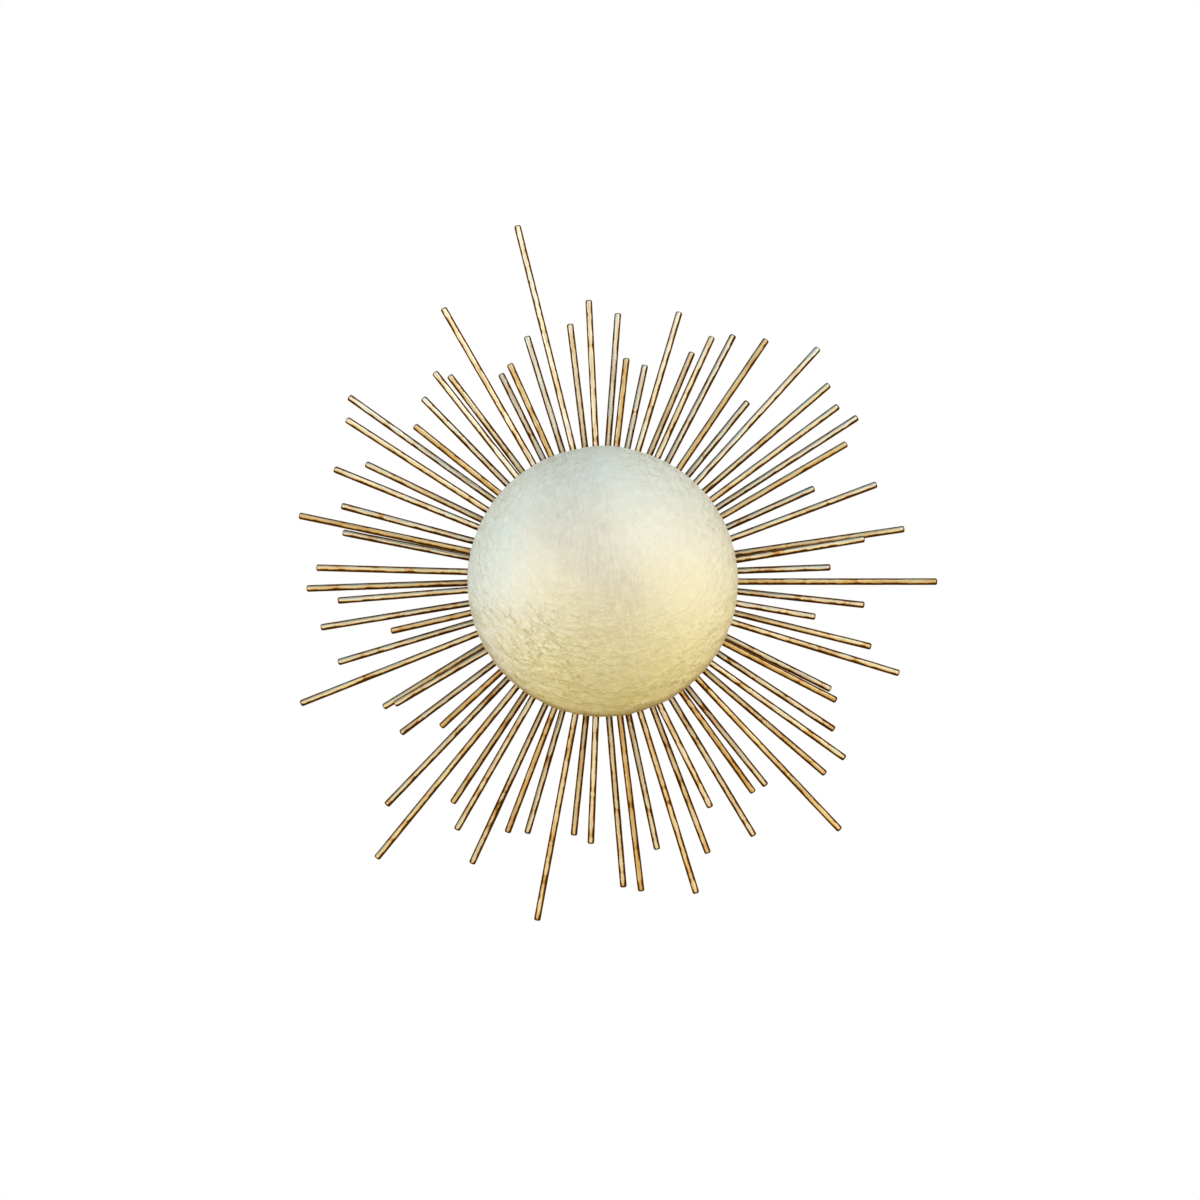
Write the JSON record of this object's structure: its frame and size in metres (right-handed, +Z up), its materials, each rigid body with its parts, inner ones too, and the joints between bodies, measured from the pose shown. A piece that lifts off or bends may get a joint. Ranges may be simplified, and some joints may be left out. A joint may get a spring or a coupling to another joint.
{
  "type": "sunburst wall ornament",
  "caption": "Sunburst wall ornament: a crinkled champagne dome on a round hub, with two rows of antique brass rods radiating behind it, hung by keyholes.",
  "frame": {"origin": "centre of the back plate's wall face", "axes": "+Z up, +Y out of the back into the wall, -Y towards the viewer, +X to the viewer's right"},
  "size_m": [0.5857, 0.1409, 0.6383],
  "materials": {
    "champagne_leaf": "satin champagne leaf over a crinkled cast shell",
    "antique_brass": "hand rubbed antique brass, satin",
    "plain_aluminium": "as turned",
    "zinc_steel": "bright zinc",
    "stained_hardwood": "dark brown stain, matt",
    "dark_bronze_paint": "dark bronze powder coat"
  },
  "bodies": {
    "root": {"dome_shell": "champagne_leaf", "dome_ring": "plain_aluminium", "dome_screws": "zinc_steel", "dome_seat": "plain_aluminium", "captive_nuts": "zinc_steel", "front_hub_disc": "stained_hardwood", "rear_hub_disc": "stained_hardwood", "tie_bolts": "zinc_steel", "back_plate": "dark_bronze_paint", "spacer_1": "zinc_steel", "spacer_2": "zinc_steel", "spacer_3": "zinc_steel", "ray_pair_01": "antique_brass", "ray_pair_02": "antique_brass", "ray_pair_03": "antique_brass", "ray_pair_04": "antique_brass", "ray_pair_05": "antique_brass", "ray_pair_06": "antique_brass", "ray_pair_07": "antique_brass", "ray_pair_08": "antique_brass", "ray_pair_09": "antique_brass", "ray_pair_10": "antique_brass", "ray_pair_11": "antique_brass", "ray_pair_12": "antique_brass", "ray_pair_13": "antique_brass", "ray_pair_14": "antique_brass", "ray_pair_15": "antique_brass", "ray_pair_16": "antique_brass", "ray_pair_17": "antique_brass", "ray_pair_18": "antique_brass", "ray_pair_19": "antique_brass", "ray_pair_20": "antique_brass", "ray_pair_21": "antique_brass", "ray_pair_22": "antique_brass", "ray_pair_23": "antique_brass", "ray_pair_24": "antique_brass", "ray_pair_25": "antique_brass", "ray_pair_26": "antique_brass", "ray_pair_27": "antique_brass", "ray_pair_28": "antique_brass", "ray_pair_29": "antique_brass", "ray_pair_30": "antique_brass", "ray_pair_31": "antique_brass", "ray_pair_32": "antique_brass", "ray_pair_33": "antique_brass", "ray_pair_34": "antique_brass", "ray_pair_35": "antique_brass", "ray_pair_36": "antique_brass", "ray_pair_37": "antique_brass", "ray_pair_38": "antique_brass", "ray_pair_39": "antique_brass"}
  },
  "joints": []
}
